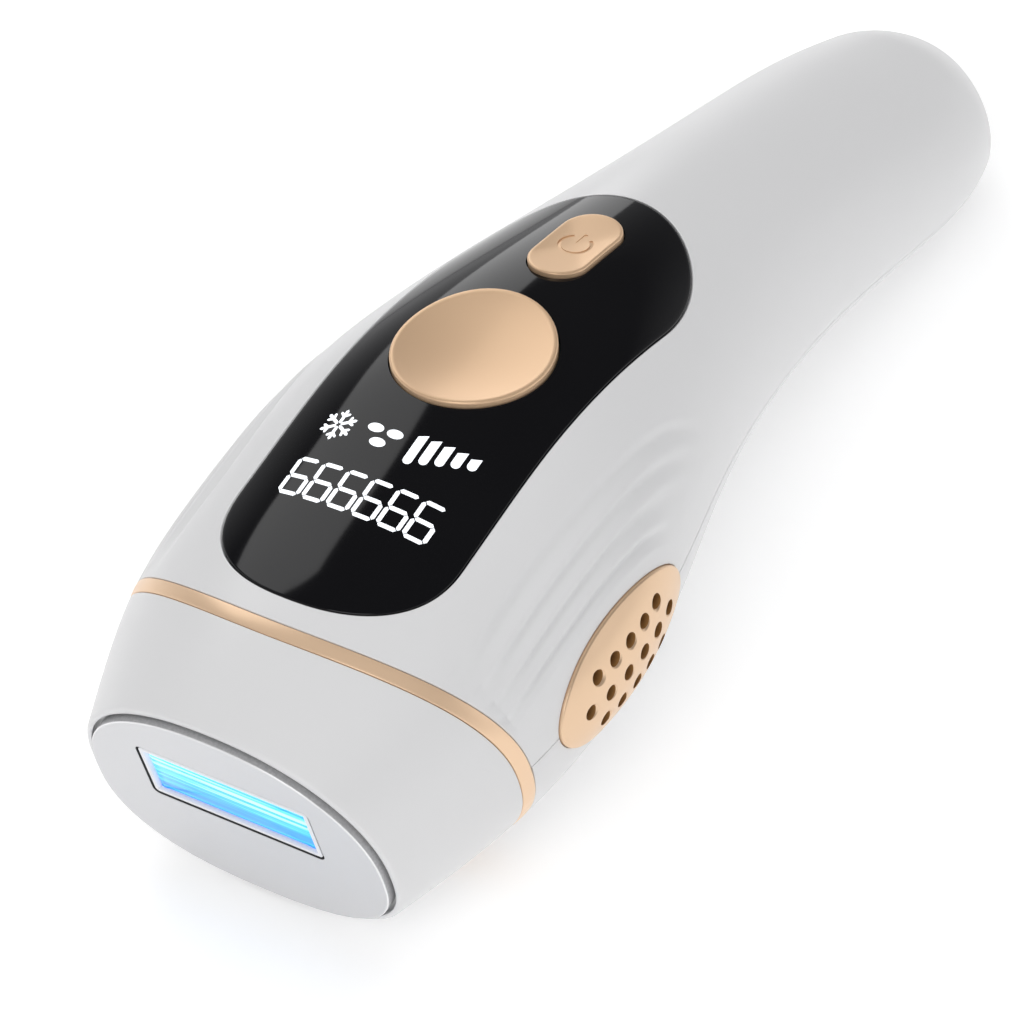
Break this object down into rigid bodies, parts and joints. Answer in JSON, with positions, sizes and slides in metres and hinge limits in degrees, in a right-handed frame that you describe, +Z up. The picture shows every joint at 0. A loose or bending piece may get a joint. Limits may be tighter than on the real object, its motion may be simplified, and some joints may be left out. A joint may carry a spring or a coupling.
{
  "type": "ipl hair remover",
  "caption": "Hand-held light-pulse hair remover with a flat cooled head, a bent handle, a display panel with flash and power buttons, side vents and a charger inlet in the tail.",
  "frame": {"origin": "middle of the bounding box in plan, at the level of the surface that the chin and the tail rest on", "axes": "+X to the right of a person who looks from the head along the handle, +Y from the head to the tail, +Z up, with the display and the buttons on top. The device lies on its chin and tail, so its handle slopes 12.7 degrees against its own body axis"},
  "size_m": [0.0712, 0.2016, 0.0559],
  "materials": {
    "white_shell": "gloss moulded, cool white",
    "champagne_trim": "satin champagne gold",
    "champagne_button": "satin champagne gold, lighter",
    "black_panel": "gloss black",
    "satin_plate": "satin anodised",
    "window_frame": "gloss white",
    "filter_glass": "polished, blue tinted",
    "lamp_glass": "polished quartz",
    "reflector": "polished",
    "ceramic": "matte ceramic",
    "steel": "plated",
    "sink_aluminium": "extruded",
    "black_plastic": "moulded",
    "display_light": "white light guide",
    "plunger": "moulded",
    "circuit_board": "solder mask",
    "capacitor_sleeve": "heat-shrunk sleeve",
    "coil_tape": "wound copper under amber tape"
  },
  "bodies": {
    "housing": {"head_shell": "white_shell", "upper_shell": "white_shell", "lower_shell": "white_shell", "trim_ring": "champagne_trim", "left_vent_grille": "champagne_trim", "right_vent_grille": "champagne_trim", "display_panel": "black_panel", "contact_plate": "satin_plate", "window_frame": "window_frame", "window_glass": "filter_glass", "flash_lamp": "lamp_glass", "lamp_reflector": "reflector", "lamp_holder": "ceramic", "peltier_cooler": "ceramic", "lamp_cap_left": "steel", "lamp_cap_right": "steel", "shell_screw_left": "steel", "shell_screw_right": "steel", "shell_screw_rear": "steel", "heat_sink": "sink_aluminium", "fan_frame": "black_plastic", "flash_switch": "black_plastic", "power_switch": "black_plastic", "display_module": "display_light", "dc_inlet": "black_plastic", "key_board": "circuit_board", "display_board": "circuit_board", "main_board": "circuit_board", "main_capacitor": "capacitor_sleeve", "filter_capacitor": "capacitor_sleeve", "trigger_transformer": "coil_tape", "power_transformer": "coil_tape"},
    "flash_button": {"flash_button": "champagne_button"},
    "power_button": {"power_button": "champagne_button"},
    "flash_plunger": {"flash_switch_plunger": "plunger"},
    "power_plunger": {"power_switch_plunger": "plunger"},
    "fan": {"fan_rotor": "black_plastic"}
  },
  "joints": [
    {"name": "flash_button_press", "type": "slide", "parent": "housing", "child": "flash_button", "axis": [0, 0, -1], "range_m": [0, 0.0005], "stiffness_N_per_m": 3000},
    {"name": "power_button_press", "type": "slide", "parent": "housing", "child": "power_button", "axis": [0, 0, -1], "range_m": [0, 0.0005], "stiffness_N_per_m": 3000},
    {"name": "flash_switch_press", "type": "slide", "parent": "housing", "child": "flash_plunger", "axis": [0, 0, -1], "range_m": [0, 0.0005]},
    {"name": "power_switch_press", "type": "slide", "parent": "housing", "child": "power_plunger", "axis": [0, 0, -1], "range_m": [0, 0.0005]},
    {"name": "fan_spin", "type": "hinge", "parent": "housing", "child": "fan", "pos_m": [0, -0.07083, 0.02377], "axis": [0, 0.9755, 0.2198], "continuous": true}
  ],
  "couplings": [
    {"joint": "flash_switch_press", "follows": "flash_button_press", "ratio": 1},
    {"joint": "power_switch_press", "follows": "power_button_press", "ratio": 1}
  ]
}
